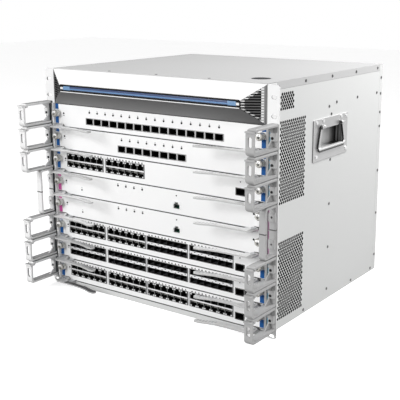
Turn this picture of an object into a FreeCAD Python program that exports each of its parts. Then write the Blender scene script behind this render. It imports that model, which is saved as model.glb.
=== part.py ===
import FreeCAD, Part
import math
import os

# Modular rack switch: eight slide-in cards in a 19 inch sheet-metal chassis.
# Frame in mm: X to the right seen from the front, Y to the rear, Z up.
# The origin is the centre of the chassis bottom. Depths are counted from the
# front face of the rack ears towards the rear, so a negative depth is in front.

os.makedirs("parts", exist_ok=True)

# Chassis
CHASSIS_HALF_W = 221.0
CHASSIS_DEPTH = 406.0
CHASSIS_H = 396.0
FRONT = -CHASSIS_DEPTH / 2
SHEET = 1.2
FIT = 0.3
INNER_HALF_W = CHASSIS_HALF_W - SHEET
BRACKET_DEPTH = 26.0
REAR_FLANGE = 12.0
LID_FLANGE = 12.0

# Rack ears, on the standard hole columns
EAR_HALF_W = 241.3
EAR_T = 2.0
EAR_CORNER_R = 5.0
EAR_BOTTOM = 0.6
EAR_TOP = 395.4
RACK_HOLE_X = 232.55
RACK_HOLE_Z = (4.85, 347.75, 376.325)
RACK_HOLE_R = 2.9
RACK_SLOT_LEN = 10.0
RIB_IN = 221.0
RIB_OUT = 225.0
RIB_T = 3.0

# Round recess in the top cover
DISC_X = 175.0
DISC_D = 55.0
DISC_R = 17.0

# Card slots, numbered from the top
SLOTS = 8
SLOT_PITCH = 40.55
SLOT_BASE = 9.4
SEAM_GAP = 0.45
FACE_T = 2.0
FACE_HALF_W = 219.4
NOTCH_X = 197.5
NOTCH_H = 4.6
SUPERVISORS = (4, 5)

# Card tray, board and guides
TRAY_HALF_W = 203.2
TRAY_Z = 6.0
TRAY_BACK = 292.0
TRAY_RIM = 10.0
BOARD_HALF_W = 196.0
BOARD_Z = 8.2
BOARD_T = 1.6
GUIDE_IN = 199.5
GUIDE_OUT = 205.5
POST_D0 = 2.4
POST_D1 = 6.4
MIDPLANE_D = 299.0
MIDPLANE_T = 3.0
MIDPLANE_HALF_W = 214.0
MIDPLANE_Z = (12.0, 385.0)
AIR_SLOT_X = (165.0, 190.0)
AIR_SLOT_Z = (22.0, 32.0)

# Standoffs, midplane plugs and heat sinks on the board
STANDOFF_X = (-180, -60, 60, 180)
STANDOFF_D = (60, 240)
STANDOFF_HALF = 4
BOARD_D0 = 30.0
PLUG_X = (-110, 0, 110)
PLUG_HALF_W = 30
PLUG_H = 14.4
SINKS = ((-90, 150), (70, 170))
SINK_HALF = 32
SINK_H = 18
SINK_BASE = 4
FIN_GAPS = 6
FIN_PITCH = 10

# Ports
PORT_ROW_Z = 9.2
QSFP_W = 15.2
QSFP_H = 10.2
QSFP_PITCH = 18.1
QSFP_DEPTH = 30.0
UPLINK_X = 174.2
BLOCK_Z0 = 9.9
BLOCK_Z1 = 34.2
BLOCK_W = 85.4
BLOCK_X0 = (-194.2, -102.6, -13.8, 75.8)
BLOCK_DEPTH = 24.0
JACK_W = 12.4
JACK_H = 10.7
JACK_LATCH_W = 7.0
JACK_LATCH_H = 3.0
SFP_W = 13.1
SFP_H = 8.8
ROW_MARGIN = 0.8
BLOCK_MARGIN = 0.9
PORT_COLS = 6
POCKET_DEPTH = 11.0
CAGE_WALL = 1.0
CAGE_PROUD = 0.5
MANAGEMENT_X = 50.0
MANAGEMENT_HALF_W = 8.8
MANAGEMENT_Z = (8.6, 22.0)
MANAGEMENT_SILL = 1.2
MANAGEMENT_DEPTH = 20.0

# Captive screws
SCREW_X = 212.6
SCREW_Z = 23.9
SCREW_HEAD_R = 6.2
SCREW_HEAD_D = -11.5
SCREW_COLLAR_D = -1.4
SCREW_COLLAR_R = 3.6
SCREW_SHANK_R = 2.0
CROSS_HALF = 3.2
CROSS_HALF_T = 0.6
CROSS_DEPTH = 2.2

# Ejector levers
LEVER_Z0 = 1.8
LEVER_Z1 = 4.2
PIVOT_X = 204.5
PIVOT_D = -10.0
PIN_R = 2.4
PIN_CLEAR = 0.06
PIN_HEAD_R = 4.0
PIN_HEAD_T = 1.2
LEVER_OUTLINE = (
    (197.8, -2.0), (211.5, -2.0), (211.5, -23.0), (205.0, -27.4), (165.0, -27.4),
    (146.0, -28.6), (131.0, -31.8), (120.0, -35.6), (107.6, -36.2), (107.6, -26.6),
    (124.0, -25.2), (141.0, -20.6), (158.0, -19.4), (184.0, -18.4), (193.0, -13.5))
LEVER_RADII = (4.0, 7.0, 3.0, 3.0, 0, 10, 0, 6, 4.6, 4.6, 8, 10, 0, 6, 0)

# Cable rings
RING_IN = 226.5
RING_OUT = 240.5
RING_Z0 = 4.4
RING_H = 40.3
RING_FRONT = -67.5
RING_ARM = 5.0
RING_TOP_ARM = 4.0
RING_PAD_D = -7.5
RING_PAD_Z = (15.0, 27.3)
RING_WEB = (231.0, 233.0)
RING_WEB_D = (-19.3, -20.0)
RING_HOLE_X = 234.3
RING_HOLE_R = 1.7
LOOP_IN = 229.0
LOOP_OUT = 240.0
LOOP_FRONT = -33.0
LOOP_WALL = 3.6
LOOP_PAD_D = (-7.0, -3.5)
LOOP_PAD_HALF = 7.0
LOOP_HOLE_OFFSET = 21.0

# Bezel
BEZEL_Z0 = 334.2
BEZEL_Z1 = 394.5
RIDGE_Z0 = 358.0
RIDGE_Z1 = 370.0
RIDGE_D = -20.5
RIDGE_HALF_W = 186.0
BEZEL_WALL = 2.4
CHANNEL_Z0 = 360.7
CHANNEL_Z1 = 369.0
CHANNEL_DEPTH = 3.4
LIGHT_HALF_W = 178.0
LOUVRE_PITCH = 4.0
LOUVRE_START = 9.2
LOUVRE_END = 1.6
LOUVRE_H = 2.7

# Carrying handles on the side walls
PLATE_D = (140.5, 262.5)
PLATE_Z = (253.5, 322.8)
PLATE_T = 1.5
POCKET_D = (160.0, 241.0)
POCKET_Z = (275.0, 306.0)
POCKET_IN = 207.5
BAIL_Z = 309.6
BAIL_X = 226.0
STRAP_T = 3.0
GRIP_Z = (268.0, 274.8)
KNEE_Z = (276.5, 279.5)
EYE_R = 3.2
ARM_W = 6.0
BAIL_TOP_D = (160.4, 241.6)
BAIL_LOW_D = (152.0, 250.0)
BOSS_W = 4.6
BOSS_R = 3.4
BOSS_D = (167.0, 230.4)
BAIL_PIN_R = 1.9

# Screws in the case: depth and height on the side walls, X on the top cover
SIDE_SCREWS = (
    (114, 390), (204, 390), (294, 390), (383, 390), (204, 249), (204, 172), (204, 95),
    (204, 18.6), (383, 345), (302, 345), (222.4, 345), (195.8, 340.4), (204.2, 326.8),
    (121.5, 6.2), (300, 6.2), (384, 6.2))
REAR_SCREW_D = 400
REAR_SCREW_Z = (30, 113, 196, 280.5, 307, 342, 371)
PLATE_SCREWS = (
    (151, 261.5), (151, 318.2), (257.2, 261.5), (257.2, 318.2), (173.5, 319.0), (238, 319.2))
TOP_SCREW_X = (-96, 5, 110)
TOP_SCREW_D = 8

# Vent fields in the side walls: depth from, depth to, Z from, Z to
VENTS = ((35.5, 80.0, 350.0, 378.0), (35.5, 117.0, 203.5, 335.5), (35.5, 117.0, 13.5, 145.0))
VENT_PITCH = 11.6
VENT_R = 3.9
VENT_MARGIN = 1.5

# Rear modules
REAR_PLATE_T = 1.4
FAN_Z = (212.0, 380.0)
PSU_Z = (16.0, 200.0)
MODULE_X = 201.0
MODULE_FRONT_D = 312.0
FAN_R = 58.0
FAN_HUB_R = 20.0
FAN_RECESS = 6.0
FAN_X = (-132.0, 0.0, 132.0)
GUARD_HALF = 2.0
MODULE_GAP = 0.5
PSU_IN = 3.0
INLET_X = (27.0, 55.0)
INLET_Z = (40.0, 60.0)
INLET_DEPTH = 18.0
GRILLE_Z0 = 84.0
GRILLE_PITCH = 11.0
GRILLE_SLOTS = 9
GRILLE_H = 5.0
GRILLE_DEPTH = 8.0


def at(x, d, z):
    return FreeCAD.Vector(x, FRONT + d, z)


def block(x0, x1, d0, d1, z0, z1):
    return Part.makeBox(x1 - x0, d1 - d0, z1 - z0, at(x0, d0, z0))


def rod(radius, start, end):
    line = end.sub(start)
    return Part.makeCylinder(radius, line.Length, start, line)


def mirrored(shape):
    return shape.mirror(FreeCAD.Vector(0, 0, 0), FreeCAD.Vector(1, 0, 0))


def sided(shape, side):
    return shape if side == "right" else mirrored(shape)


def rounded_face(points, radii):
    edges = []
    joints = []
    count = len(points)
    for i, corner in enumerate(points):
        back = points[i - 1].sub(corner)
        ahead = points[(i + 1) % count].sub(corner)
        radius = radii[i]
        if radius == 0:
            joints.append((corner, None, corner))
            continue
        half = back.getAngle(ahead) / 2
        back.normalize()
        ahead.normalize()
        reach = radius / math.tan(half)
        bisector = back.add(ahead)
        bisector.normalize()
        depth = radius / math.sin(half) - radius
        middle = corner.add(bisector * depth)
        joints.append((corner.add(back * reach), middle, corner.add(ahead * reach)))
    for i, (start, middle, end) in enumerate(joints):
        if middle is not None:
            edges.append(Part.Arc(start, middle, end).toShape())
        following = joints[(i + 1) % count][0]
        if end.distanceToPoint(following) > 1e-6:
            edges.append(Part.makeLine(end, following))
    return Part.Face(Part.Wire(edges))


def side_profile(x0, x1, outline, radii):
    face = rounded_face([at(x0, d, z) for d, z in outline], radii)
    return face.extrude(FreeCAD.Vector(x1 - x0, 0, 0))


def front_profile(d0, d1, outline, radii):
    face = rounded_face([at(x, d0, z) for x, z in outline], radii)
    return face.extrude(FreeCAD.Vector(0, d1 - d0, 0))


def plan_profile(z0, z1, outline, radii):
    face = rounded_face([at(x, d, z0) for x, d in outline], radii)
    return face.extrude(FreeCAD.Vector(0, 0, z1 - z0))


def seam(slot):
    return SLOT_BASE + (SLOTS - slot) * SLOT_PITCH


def save(name, shapes):
    if len(shapes) == 1:
        shape = shapes[0]
    else:
        shape = Part.makeCompound(shapes)
    shape.exportStep("parts/" + name + ".step")


# ---------------------------------------------------------------- chassis


def base_pan():
    inner = INNER_HALF_W
    rear = CHASSIS_DEPTH - REAR_PLATE_T
    pan = block(-inner, inner, 0, rear, 0, SHEET)
    pan = pan.fuse(block(-inner, inner, 0, SHEET, 0, SLOT_BASE - SEAM_GAP))
    pan = pan.fuse(block(-inner, inner, rear - SHEET, rear, 0, PSU_Z[0] - 2))
    for x0 in (-inner, inner - SHEET):
        pan = pan.fuse(block(x0, x0 + SHEET, BRACKET_DEPTH, rear, 0, SLOT_BASE))
    return pan.removeSplitter()


def vent_holes():
    holes = []
    row_pitch = VENT_PITCH * math.sqrt(3) / 2
    for d0, d1, z0, z1 in VENTS:
        edge = VENT_R + VENT_MARGIN
        z = z0 + edge
        odd = False
        while z <= z1 - edge:
            d = d0 + edge + (VENT_PITCH / 2 if odd else 0)
            while d <= d1 - edge:
                points = []
                for i in range(7):
                    angle = math.radians(30 + 60 * i)
                    dd = d + VENT_R * math.cos(angle)
                    points.append(at(INNER_HALF_W - 1, dd, z + VENT_R * math.sin(angle)))
                face = Part.Face(Part.makePolygon(points))
                holes.append(face.extrude(FreeCAD.Vector(SHEET + 2, 0, 0)))
                d += VENT_PITCH
            z += row_pitch
            odd = not odd
    return holes


def side_panel():
    d0 = BRACKET_DEPTH + FIT
    d1 = CHASSIS_DEPTH - REAR_FLANGE - FIT
    panel = block(INNER_HALF_W, CHASSIS_HALF_W, d0, d1, 0, CHASSIS_H - LID_FLANGE - FIT)
    wall = SHEET + FIT
    window = block(
        INNER_HALF_W - 1, CHASSIS_HALF_W + 1,
        POCKET_D[0] - wall, POCKET_D[1] + wall, POCKET_Z[0] - wall, POCKET_Z[1] + wall)
    return panel.cut(vent_holes() + [window])


def top_cover():
    top = block(-CHASSIS_HALF_W, CHASSIS_HALF_W, 0, CHASSIS_DEPTH, CHASSIS_H - SHEET, CHASSIS_H)
    d0 = BRACKET_DEPTH + FIT
    d1 = CHASSIS_DEPTH - REAR_FLANGE - FIT
    for x0 in (-CHASSIS_HALF_W, INNER_HALF_W):
        top = top.fuse(block(x0, x0 + SHEET, d0, d1, CHASSIS_H - LID_FLANGE, CHASSIS_H))
    half = INNER_HALF_W - FIT
    top = top.fuse(block(-half, half, 0, SHEET, BEZEL_Z0 + 0.5, CHASSIS_H))
    recess = Part.makeCylinder(DISC_R, SHEET, at(DISC_X, DISC_D, CHASSIS_H - SHEET / 2))
    return top.cut(recess).removeSplitter()


def rear_frame():
    d0 = CHASSIS_DEPTH - REAR_PLATE_T
    high = CHASSIS_H - SHEET
    frame = block(-INNER_HALF_W, INNER_HALF_W, d0, CHASSIS_DEPTH, 0, high)
    for x0 in (-CHASSIS_HALF_W, INNER_HALF_W):
        flange = block(x0, x0 + SHEET, CHASSIS_DEPTH - REAR_FLANGE, CHASSIS_DEPTH, 0, high)
        frame = frame.fuse(flange)
    shelf_z = (FAN_Z[0] + PSU_Z[1]) / 2
    frame = frame.fuse([
        block(-INNER_HALF_W, INNER_HALF_W, MODULE_FRONT_D, d0, shelf_z, shelf_z + SHEET),
        block(-SHEET / 2, SHEET / 2, MODULE_FRONT_D, d0, PSU_Z[0], shelf_z)])
    gap = MODULE_GAP
    windows = [block(-MODULE_X - gap, MODULE_X + gap, d0 - 1, CHASSIS_DEPTH + 1,
                     FAN_Z[0] - gap, FAN_Z[1] + gap)]
    for x0, x1 in ((-MODULE_X, -PSU_IN), (PSU_IN, MODULE_X)):
        windows.append(block(x0 - gap, x1 + gap, d0 - 1, CHASSIS_DEPTH + 1,
                             PSU_Z[0] - gap, PSU_Z[1] + gap))
    return frame.cut(windows).removeSplitter()


def midplane():
    d0, d1 = MIDPLANE_D, MIDPLANE_D + MIDPLANE_T
    board = block(-MIDPLANE_HALF_W, MIDPLANE_HALF_W, d0, d1, MIDPLANE_Z[0], MIDPLANE_Z[1])
    slots = []
    for slot in range(1, SLOTS + 1):
        low, high = seam(slot) + AIR_SLOT_Z[0], seam(slot) + AIR_SLOT_Z[1]
        air_slot = block(AIR_SLOT_X[0], AIR_SLOT_X[1], d0 - 1, d1 + 1, low, high)
        slots += [air_slot, mirrored(air_slot)]
    return board.cut(slots)


def rack_ear():
    r = EAR_CORNER_R
    ear = front_profile(
        0, EAR_T,
        [(INNER_HALF_W, EAR_BOTTOM), (EAR_HALF_W, EAR_BOTTOM),
         (EAR_HALF_W, EAR_TOP), (INNER_HALF_W, EAR_TOP)],
        [0, r, r, 0])
    top = CHASSIS_H - SHEET - FIT
    leg = block(INNER_HALF_W, CHASSIS_HALF_W, 0, BRACKET_DEPTH, 0, top)
    rib = block(RIB_IN, RIB_OUT, -RIB_T, 0, SLOT_BASE, BEZEL_Z0)
    ear = ear.common(block(0, 400, -1, 10, 0, top))
    ear = ear.fuse([leg, rib]).removeSplitter()
    half = RACK_SLOT_LEN / 2
    holes = []
    for z in RACK_HOLE_Z:
        holes.append(front_profile(
            -1, EAR_T + 1,
            [(RACK_HOLE_X - half, z - RACK_HOLE_R), (RACK_HOLE_X + half, z - RACK_HOLE_R),
             (RACK_HOLE_X + half, z + RACK_HOLE_R), (RACK_HOLE_X - half, z + RACK_HOLE_R)],
            [RACK_HOLE_R - 0.001] * 4))
    return ear.cut(holes)


def card_guides():
    post = block(GUIDE_OUT - 1, INNER_HALF_W, POST_D0, POST_D1, SLOT_BASE, BEZEL_Z0 - 1)
    bars = []
    holes = []
    for slot in range(1, SLOTS + 1):
        floor = seam(slot) + TRAY_Z - FIT
        bars.append(block(GUIDE_IN, GUIDE_OUT, POST_D0, MIDPLANE_D, floor - 2.6, floor))
        rib = block(TRAY_HALF_W + 0.4, GUIDE_OUT, POST_D0, MIDPLANE_D, floor, floor + 7)
        bars.append(rib)
        z = seam(slot) + SCREW_Z
        holes.append(rod(SCREW_SHANK_R + FIT, at(SCREW_X, POST_D0 - 1, z), at(SCREW_X, POST_D1 + 1, z)))
    return post.fuse(bars).removeSplitter().cut(holes)


# ---------------------------------------------------------------- bezel


def bezel_prism(inset):
    back = 0.0
    outline = [
        (back, BEZEL_Z1 - inset * 1.3), (RIDGE_D + inset, RIDGE_Z1 - inset * 0.4),
        (RIDGE_D + inset, RIDGE_Z0 + inset * 0.4), (back, BEZEL_Z0 + inset * 1.3)]
    half = CHASSIS_HALF_W - 0.2 - inset * 2
    prism = side_profile(-half, half, outline, [0, 0, 0, 0])
    ridge = RIDGE_HALF_W - inset * 1.2
    keep = plan_profile(
        BEZEL_Z0 - 1, BEZEL_Z1 + 1,
        [(-half, 0.0), (-ridge, RIDGE_D + inset), (ridge, RIDGE_D + inset), (half, 0.0)],
        [0, 0, 0, 0])
    return prism.common(keep)


def louvre_slots():
    run = math.hypot(CHASSIS_HALF_W - RIDGE_HALF_W, RIDGE_D)
    angle = math.degrees(math.atan2(RIDGE_D, RIDGE_HALF_W - CHASSIS_HALF_W))
    slots = []
    z = BEZEL_Z0 + 4.0
    while z < BEZEL_Z1 - 4.0:
        far = run
        if z + LOUVRE_H > RIDGE_Z1:
            far = run * (BEZEL_Z1 - z - LOUVRE_H) / (BEZEL_Z1 - RIDGE_Z1)
        if z < RIDGE_Z0:
            far = run * (z - BEZEL_Z0) / (RIDGE_Z0 - BEZEL_Z0)
        start = LOUVRE_START
        length = far - start - LOUVRE_END
        if length > LOUVRE_H:
            slot = Part.makeBox(length, 12.0, LOUVRE_H, FreeCAD.Vector(start, -6.0, 0))
            slot.rotate(FreeCAD.Vector(0, 0, 0), FreeCAD.Vector(0, 0, 1), angle)
            slot.translate(at(CHASSIS_HALF_W - 0.2, 0, z))
            slots.append(slot)
        z += LOUVRE_PITCH
    return slots


def bezel_shell():
    shell = bezel_prism(0.0).cut(bezel_prism(BEZEL_WALL))
    channel = block(
        -RIDGE_HALF_W + 1.5, RIDGE_HALF_W - 1.5, RIDGE_D - 1, RIDGE_D + CHANNEL_DEPTH,
        CHANNEL_Z0, CHANNEL_Z1)
    floor = block(
        -CHASSIS_HALF_W, CHASSIS_HALF_W, RIDGE_D + CHANNEL_DEPTH,
        RIDGE_D + CHANNEL_DEPTH + 1.6, RIDGE_Z0 - 3, RIDGE_Z1 + 4)
    floor = floor.common(bezel_prism(BEZEL_WALL / 2))
    right = louvre_slots()
    left = [mirrored(slot) for slot in right]
    return shell.fuse(floor).cut([channel] + right + left).removeSplitter()


def bezel_light_bar():
    d0 = RIDGE_D + 0.7
    d1 = RIDGE_D + CHANNEL_DEPTH
    z0 = CHANNEL_Z0 + 0.5
    z1 = CHANNEL_Z1 - 0.5
    bar = side_profile(
        -LIGHT_HALF_W, LIGHT_HALF_W, [(d0, z0), (d1, z0), (d1, z1), (d0, z1)], [1.2, 0, 0, 1.2])
    return bar


# ---------------------------------------------------------------- cable rings


def cable_ring(slot):
    """Cable ring: a plastic frame with a slotted, hooked front and a screw pad at the ear."""
    z = seam(slot) + RING_Z0
    top = z + RING_H
    front = RING_FRONT
    arm = z + RING_ARM
    ceiling = top - RING_TOP_ARM
    pad_low, pad_high = z + RING_PAD_Z[0], z + RING_PAD_Z[1]
    outline = [
        (0, z), (front, z), (front, top - 5.6), (front - 2.5, top - 5.2), (front - 2.5, top - 3),
        (front + 2.9, top - 3), (front + 4.8, top - 7), (front + 3.5, top - 7.6),
        (front + 3.5, arm), (RING_WEB_D[0], arm), (RING_PAD_D, pad_low), (RING_PAD_D, pad_high),
        (RING_WEB_D[1], ceiling), (-57.0, ceiling), (-58.6, top - 6.8), (-61.2, top - 6.8),
        (-63.4, top - 2.2), (-60.5, top), (0, top)]
    radii = [0] * len(outline)
    radii[1] = 8.0
    radii[8] = 4.5
    ring = side_profile(RING_IN, RING_OUT, outline, radii)
    rounded = front_profile(
        RING_FRONT - 5, 1,
        [(RING_IN, z), (RING_OUT, z), (RING_OUT, top), (RING_IN, top)], [5.0, 2.0, 2.0, 2.0])
    ring = ring.common(rounded)
    slot_x = (RING_IN + RING_OUT) / 2
    middle = z + 21.3
    cable_slot = front_profile(
        RING_FRONT - 4, RING_FRONT + 6,
        [(slot_x - 3.3, middle - 8.1), (slot_x + 3.3, middle - 8.1),
         (slot_x + 3.3, middle + 8.1), (slot_x - 3.3, middle + 8.1)], [3.29] * 4)
    hole_z = z + 19.3
    fixing = rod(RING_HOLE_R, at(RING_HOLE_X, -8.5, hole_z), at(RING_HOLE_X, 1, hole_z))
    reach = RING_WEB_D[1] - 4
    inboard = block(RING_IN - 1, RING_WEB[0], reach, 1, arm, ceiling)
    recess = []
    for z0, z1 in ((arm, pad_low), (pad_high, ceiling)):
        recess.append(block(RING_WEB[1], RING_OUT + 1, reach, -3, z0, z1))
    return ring.cut([cable_slot, fixing, inboard] + recess)


def cable_loop():
    low, high = SUPERVISORS[1], SUPERVISORS[0]
    z0 = seam(low) + RING_Z0
    z1 = seam(high) + RING_Z0 + RING_H
    wall = LOOP_WALL
    front = LOOP_FRONT
    outer = side_profile(
        LOOP_IN, LOOP_OUT, [(0, z0), (front, z0), (front, z1), (0, z1)], [0, 6.0, 6.0, 0])
    inner = side_profile(
        LOOP_IN - 1, LOOP_OUT + 1,
        [(-4, z0 + wall), (front + wall, z0 + wall), (front + wall, z1 - wall), (-4, z1 - wall)],
        [0, 3.0, 3.0, 0])
    pads = []
    holes = []
    middle = (z0 + z1) / 2
    centre = (LOOP_IN + LOOP_OUT) / 2
    half = LOOP_PAD_HALF
    for z in (middle - LOOP_HOLE_OFFSET, middle + LOOP_HOLE_OFFSET):
        pads.append(block(LOOP_IN, LOOP_OUT, LOOP_PAD_D[0], LOOP_PAD_D[1], z - half, z + half))
        holes.append(rod(RING_HOLE_R, at(centre, -8.5, z), at(centre, 1, z)))
    return outer.cut(inner).fuse(pads).removeSplitter().cut(holes)


# ---------------------------------------------------------------- handles


def handle_mounting_plate():
    x0 = CHASSIS_HALF_W
    face = rounded_face(
        [at(x0, PLATE_D[0], PLATE_Z[0]), at(x0, PLATE_D[1], PLATE_Z[0]),
         at(x0, PLATE_D[1], PLATE_Z[1]), at(x0, PLATE_D[0], PLATE_Z[1])], [2.0] * 4)
    return face.extrude(FreeCAD.Vector(PLATE_T, 0, 0))


def handle_plate():
    plate = handle_mounting_plate()
    wall = SHEET
    shell = block(
        POCKET_IN - wall, CHASSIS_HALF_W, POCKET_D[0] - wall, POCKET_D[1] + wall,
        POCKET_Z[0] - wall, POCKET_Z[1] + wall)
    hollow = block(
        POCKET_IN, CHASSIS_HALF_W + PLATE_T + 1, POCKET_D[0], POCKET_D[1], POCKET_Z[0], POCKET_Z[1])
    bosses = []
    holes = []
    x0 = CHASSIS_HALF_W + PLATE_T
    for d in BOSS_D:
        bosses.append(hinge_boss(x0, d, d + BOSS_W))
        holes.append(rod(
            BAIL_PIN_R + PIN_CLEAR, at(BAIL_X, d - 1, BAIL_Z), at(BAIL_X, d + BOSS_W + 1, BAIL_Z)))
    return plate.fuse([shell] + bosses).cut([hollow] + holes).removeSplitter()


def hinge_boss(x0, d0, d1):
    """Hinge boss: a lug on the plate with a round end about the bail's pin."""
    lug = block(x0, BAIL_X, d0, d1, BAIL_Z - BOSS_R, BAIL_Z + BOSS_R)
    return lug.fuse(rod(BOSS_R, at(BAIL_X, d0, BAIL_Z), at(BAIL_X, d1, BAIL_Z)))


def handle_bail():
    """A strap bent to a U that widens downwards, with an eye and a pin on each arm."""
    outline = [
        (BAIL_TOP_D[0], BAIL_Z), (BAIL_LOW_D[0], KNEE_Z[0]), (BAIL_LOW_D[0] + 7, GRIP_Z[0]),
        (BAIL_LOW_D[1] - 8, GRIP_Z[0]), (BAIL_LOW_D[1], KNEE_Z[0]), (BAIL_TOP_D[1], BAIL_Z),
        (BAIL_TOP_D[1] - ARM_W, BAIL_Z), (BAIL_LOW_D[1] - ARM_W, KNEE_Z[1]),
        (BAIL_LOW_D[1] - ARM_W - 4, GRIP_Z[1]), (BAIL_LOW_D[0] + ARM_W + 4, GRIP_Z[1]),
        (BAIL_LOW_D[0] + ARM_W, KNEE_Z[1]), (BAIL_TOP_D[0] + ARM_W, BAIL_Z)]
    radii = [0, 3, 3, 3, 3, 0, 0, 2, 2, 2, 2, 0]
    bail = side_profile(BAIL_X - STRAP_T, BAIL_X, outline, radii)
    pieces = []
    for d0, inward in ((BAIL_TOP_D[0], 1), (BAIL_TOP_D[1], -1)):
        eye_end = d0 + inward * ARM_W
        pieces.append(rod(EYE_R, at(BAIL_X, d0, BAIL_Z), at(BAIL_X, eye_end, BAIL_Z)))
        pin_end = eye_end + inward * (BOSS_W - 0.5)
        pieces.append(rod(BAIL_PIN_R, at(BAIL_X, d0 - inward * 2, BAIL_Z), at(BAIL_X, pin_end, BAIL_Z)))
    return bail.fuse(pieces).removeSplitter()


# ---------------------------------------------------------------- rear modules


def fan_tray():
    middle = (FAN_Z[0] + FAN_Z[1]) / 2
    back = CHASSIS_DEPTH - REAR_PLATE_T
    face = block(-MODULE_X, MODULE_X, back, CHASSIS_DEPTH, FAN_Z[0], FAN_Z[1])
    body = block(
        -MODULE_X + 3, MODULE_X - 3, MODULE_FRONT_D, back, FAN_Z[0] + 3, FAN_Z[1] - 3)
    cuts = []
    for x in FAN_X:
        mouth = rod(FAN_R, at(x, CHASSIS_DEPTH - FAN_RECESS, middle), at(x, CHASSIS_DEPTH, middle))
        hub = rod(FAN_HUB_R, at(x, back - FAN_RECESS, middle), at(x, CHASSIS_DEPTH, middle))
        guard = [
            block(x - FAN_R, x + FAN_R, back, CHASSIS_DEPTH, middle - GUARD_HALF, middle + GUARD_HALF),
            block(x - GUARD_HALF, x + GUARD_HALF, back, CHASSIS_DEPTH, middle - FAN_R, middle + FAN_R)]
        cuts.append(mouth.cut([hub] + guard))
    return face.fuse(body).cut(cuts)


def power_supply():
    x0, x1 = PSU_IN, MODULE_X
    face = block(x0, x1, CHASSIS_DEPTH - REAR_PLATE_T, CHASSIS_DEPTH, PSU_Z[0], PSU_Z[1])
    body = block(
        x0 + 3, x1 - 3, MODULE_FRONT_D, CHASSIS_DEPTH - REAR_PLATE_T, PSU_Z[0] + 3, PSU_Z[1] - 3)
    inlet = block(
        INLET_X[0], INLET_X[1], CHASSIS_DEPTH - INLET_DEPTH, CHASSIS_DEPTH + 1,
        INLET_Z[0], INLET_Z[1])
    grille = []
    for i in range(GRILLE_SLOTS):
        z = GRILLE_Z0 + i * GRILLE_PITCH
        grille.append(block(
            x0 + 24, x1 - 24, CHASSIS_DEPTH - GRILLE_DEPTH, CHASSIS_DEPTH + 1, z, z + GRILLE_H))
    return face.fuse(body).cut([inlet] + grille)


# ---------------------------------------------------------------- cards


def qsfp_columns(slot):
    if slot == 1:
        return [-137.2 + QSFP_PITCH * i for i in range(16)]
    if slot == 2:
        return [-65.2 + QSFP_PITCH * i for i in range(8)]
    if slot == 7:
        return [UPLINK_X, UPLINK_X + QSFP_PITCH]
    if slot in (3, 6, 8):
        return [UPLINK_X]
    return []


def block_kinds(slot):
    kinds = {3: "RR", 6: "RRSS", 7: "SSSS", 8: "RRRR"}
    return kinds.get(slot, "")


def port_windows(slot):
    z = seam(slot)
    spans = []
    columns = qsfp_columns(slot)
    if columns:
        half = QSFP_W / 2 + CAGE_WALL + 0.45
        spans.append((columns[0] - half, columns[-1] + half,
                      z + PORT_ROW_Z - CAGE_WALL, z + PORT_ROW_Z + QSFP_H + CAGE_WALL))
    for i, _ in enumerate(block_kinds(slot)):
        x0 = BLOCK_X0[i]
        spans.append((x0, x0 + BLOCK_W, z + BLOCK_Z0, z + BLOCK_Z1))
    return spans


def card_face(slot):
    z0 = seam(slot) + SEAM_GAP
    z1 = seam(slot) + SLOT_PITCH - SEAM_GAP
    notch = seam(slot) + NOTCH_H
    face = front_profile(
        0, FACE_T,
        [(-FACE_HALF_W, notch), (-NOTCH_X - 3, notch), (-NOTCH_X, z0), (NOTCH_X, z0),
         (NOTCH_X + 3, notch), (FACE_HALF_W, notch), (FACE_HALF_W, z1), (-FACE_HALF_W, z1)],
        [0] * 8)
    cuts = []
    for x0, x1, low, high in port_windows(slot):
        cuts.append(block(x0, x1, -1, FACE_T + 1, low, high))
    for x in (-SCREW_X, SCREW_X):
        z = seam(slot) + SCREW_Z
        cuts.append(rod(SCREW_SHANK_R, at(x, -1, z), at(x, FACE_T + 1, z)))
    return face.cut(cuts)


def lever_bracket(slot):
    z = seam(slot)
    plate = block(NOTCH_X - 12, PIVOT_X + 6, -16, FACE_T, z + SEAM_GAP, z + LEVER_Z0 - FIT)
    pin = rod(PIN_R, at(PIVOT_X, PIVOT_D, z + SEAM_GAP), at(PIVOT_X, PIVOT_D, z + LEVER_Z1 + FIT))
    head_z = z + LEVER_Z1 + FIT
    head = rod(
        PIN_HEAD_R, at(PIVOT_X, PIVOT_D, head_z), at(PIVOT_X, PIVOT_D, head_z + PIN_HEAD_T))
    return plate.fuse([pin, head]).removeSplitter()


def card_tray(slot):
    z = seam(slot) + TRAY_Z
    half = TRAY_HALF_W
    tray = block(-half, half, FACE_T, TRAY_BACK, z, z + SHEET)
    rims = [block(-half, -half + SHEET, POST_D1 + 1, TRAY_BACK, z, z + TRAY_RIM),
            block(half - SHEET, half, POST_D1 + 1, TRAY_BACK, z, z + TRAY_RIM)]
    board_z = seam(slot) + BOARD_Z
    board_top = board_z + BOARD_T
    board = block(-BOARD_HALF_W, BOARD_HALF_W, BOARD_D0, TRAY_BACK - 4, board_z, board_top)
    posts = []
    reach = STANDOFF_HALF
    for x in STANDOFF_X:
        for d in STANDOFF_D:
            posts.append(block(x - reach, x + reach, d - reach, d + reach, z, board_top + 1))
    plugs = []
    for x in PLUG_X:
        plugs.append(block(
            x - PLUG_HALF_W, x + PLUG_HALF_W, TRAY_BACK - 16, MIDPLANE_D - 1,
            board_top, board_top + PLUG_H))
    sinks = [heat_sink(x, d, board_top) for x, d in SINKS]
    return tray.fuse(rims + [board] + posts + plugs + sinks)


def heat_sink(x, d, z):
    half = SINK_HALF
    sink = block(x - half, x + half, d - half, d + half, z, z + SINK_H)
    gaps = []
    for i in range(FIN_GAPS):
        x0 = x - 27 + i * FIN_PITCH
        gaps.append(block(x0, x0 + 4, d - half - 1, d + half + 1, z + SINK_BASE, z + SINK_H + 1))
    return sink.cut(gaps)


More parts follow.
